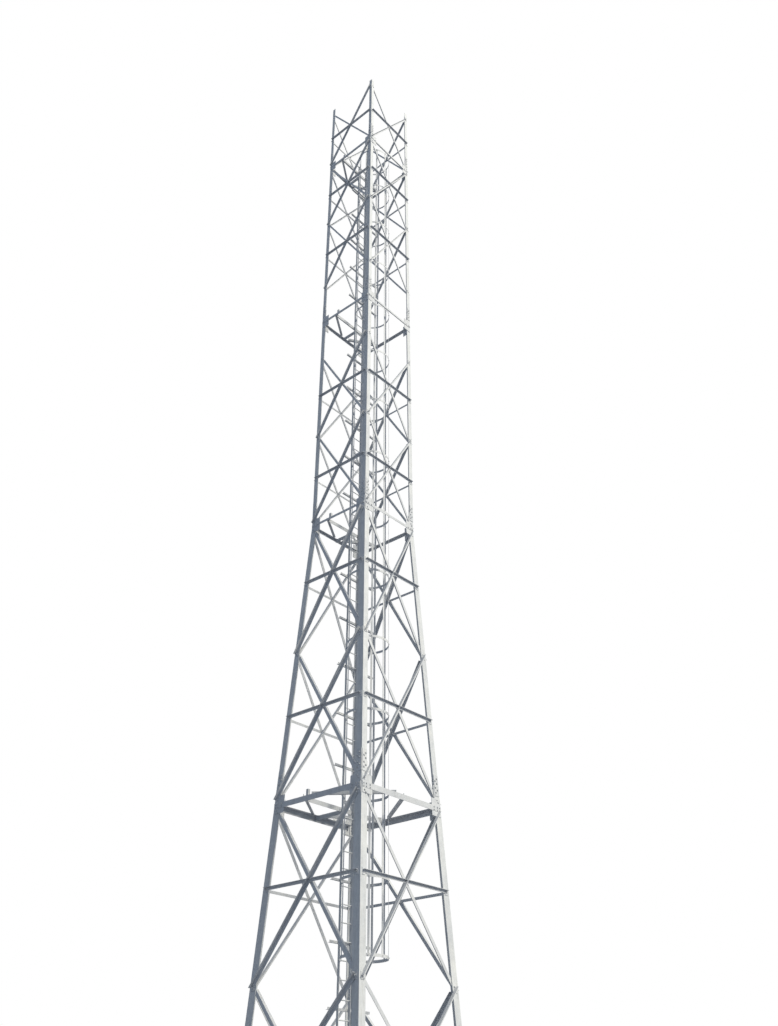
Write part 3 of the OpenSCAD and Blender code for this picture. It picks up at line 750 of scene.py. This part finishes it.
# The cable bars: light galvanised angles behind the ladder, off to its right. A U-bolt of 8 mm
# rod goes round each stile, with two nuts behind the bar.
clamp_rod, clamp_bend, clamp_leg = 0.004, 0.0095, 0.064
clamp_y, clamp_nut_y, bar_middle = 0.2275, 0.279, 0.020
clamp_nut_size = 0.42
bar_low, bar_pitch, bar_count = 0.650, 1.020, 23
bpy.ops.object.select_all(action="DESELECT")
bpy.ops.mesh.primitive_circle_add(vertices=8, radius=clamp_rod, location=(clamp_bend, 0, 0),
                                  rotation=(math.pi / 2, 0, 0))
bpy.ops.object.transform_apply(location=True, rotation=True)
clamp = start("clamp")
bpy.ops.mesh.select_all(action="SELECT")
bpy.ops.mesh.spin(steps=8, angle=-math.pi, center=(0, 0, 0), axis=(0, 0, 1))
choose(clamp, "EDGE", lambda p: abs(p.y) < 0.0002)
bpy.ops.mesh.extrude_edges_move(TRANSFORM_OT_translate={"value": (0, clamp_leg, 0)})
choose(clamp, "VERT", lambda p: p.y > clamp_leg - 0.001 and p.x > 0)
bpy.ops.mesh.edge_face_add()
choose(clamp, "VERT", lambda p: p.y > clamp_leg - 0.001 and p.x < 0)
bpy.ops.mesh.edge_face_add()
bpy.ops.mesh.select_all(action="SELECT")
bpy.ops.mesh.remove_doubles(threshold=0.00005)
bpy.ops.mesh.normals_make_consistent(inside=False)
bpy.ops.object.mode_set(mode="OBJECT")
bars = [bar_low + bar_pitch * n for n in range(bar_count)]
bars = [z for z in bars if min(abs(z - level) for level in level_heights) >= gusset_zone]
facing_back = Matrix.Rotation(-math.pi / 2, 4, "X")
clamp_spots, nut_spots = [], []
for z in bars:
    for end in (-1, 1):
        x = axis + end * stile
        clamp_spots.append(Matrix.Translation((x, axis + clamp_y, z + bar_middle)))
        for step in (-clamp_bend, clamp_bend):
            spot = Matrix.Translation((x + step, axis + clamp_nut_y, z + bar_middle))
            nut_spots.append(spot @ facing_back @ Matrix.Rotation(z, 4, "Z")
                             @ Matrix.Scale(clamp_nut_size, 4))
gather("cable_bar_clamps", spread(clamp, clamp_spots) + spread(bolt_nut(), nut_spots),
       bolt_zinc)

# The safety cage: hoops of galvanised flat bar, open at the back, and seven upright straps inside
# them. Each strap is bolted to each hoop, and each hoop end to a tab on the ladder's stile.
cage_zinc = zinc("cage_zinc", (0.60, 0.61, 0.63), flake=0.007)
coat(["cage_hoops", "cage_straps"], cage_zinc)
hoop_low, hoop_first, hoop_pitch = 3.450, 4.700, 1.500
hoops = [hoop_low] + [hoop_first + hoop_pitch * n for n in range(14)]
hoop_back, hoop_face, strap_face = 0.200, 0.420, 0.4096
strap_turn = math.radians(38)
bolts = Bolts()
for z in hoops:
    for n in range(-3, 4):
        place = (Matrix.Translation((axis, axis - hoop_back, z))
                 @ Matrix.Rotation(strap_turn * n, 4, "Z"))
        bolts.drive(place, (0, -strap_face, 0), (0, -hoop_face, 0), m9)
bolts.fit("strap_bolts", "cage_steel")

tab_thick, tab_long, tab_high = 0.005, 0.074, 0.044
tab_middle = (0.0035, 0.036, 0)
bpy.ops.object.select_all(action="DESELECT")
bpy.ops.mesh.primitive_cube_add(size=1, location=tab_middle)
bpy.ops.transform.resize(value=(tab_thick, tab_long, tab_high))
bpy.ops.object.transform_apply(location=True, scale=True)
tab = start("tab")
choose(tab, "EDGE", lambda p: abs(p.z) > tab_high / 2 - 0.001
       and abs(p.y - tab_middle[1]) > tab_long / 2 - 0.001)
bpy.ops.mesh.bevel(offset=0.008, segments=3, affect="EDGES")
bpy.ops.object.mode_set(mode="OBJECT")
tab_out, tab_shift, tab_front = 0.1425, 0.007, 0.190
tab_face, hoop_end_face, stile_face = 0.1485, 0.1375, 0.1350
hoop_bolt_y, tab_bolt_y = 0.207, 0.248
tab_spots, bolts = [], Bolts()
place = Matrix.Translation((axis, axis, 0))
for z in hoops:
    for end in (-1, 1):
        x = end * tab_out - (0 if end > 0 else tab_shift)
        tab_spots.append(Matrix.Translation((axis + x, axis + tab_front, z)))
        for y, inside in ((hoop_bolt_y, hoop_end_face), (tab_bolt_y, stile_face)):
            bolts.drive(place, (end * tab_face, y, z), (end * inside, y, z), m10)
gather("hoop_tabs", spread(tab, tab_spots), cage_zinc)
bolts.fit("hoop_tab_bolts", "cage_steel")

# The floor is one flat sheet, far larger than the tower. It is pale to the camera and in gloss, and
# dark to all other light, so that it keeps the shadow and throws little light up from below.
floor_side = 160
floor_grey, floor_white = (0.17, 0.19, 0.23, 1), (0.8, 0.8, 0.8, 1)
bpy.ops.object.select_all(action="DESELECT")
bpy.ops.mesh.primitive_plane_add(size=floor_side, location=(axis, axis, 0))
floor = bpy.context.object
floor.name = "floor"
floor_paint = Finish("floor_paint")
looked_at = floor_paint.add("ShaderNodeLightPath", {}, {}, "Is Camera Ray")
glossed = floor_paint.add("ShaderNodeLightPath", {}, {}, "Is Glossy Ray")
to_the_eye = floor_paint.add("ShaderNodeMath", {"operation": "MAXIMUM"}, {0: looked_at, 1: glossed})
floor_colour = floor_paint.blend(to_the_eye, floor_grey, floor_white)
floor_paint.feed(floor_paint.shader.inputs["Base Color"], floor_colour)
floor_paint.feed(floor_paint.shader.inputs["Roughness"], 0.9)
floor.data.materials.append(floor_paint.material)
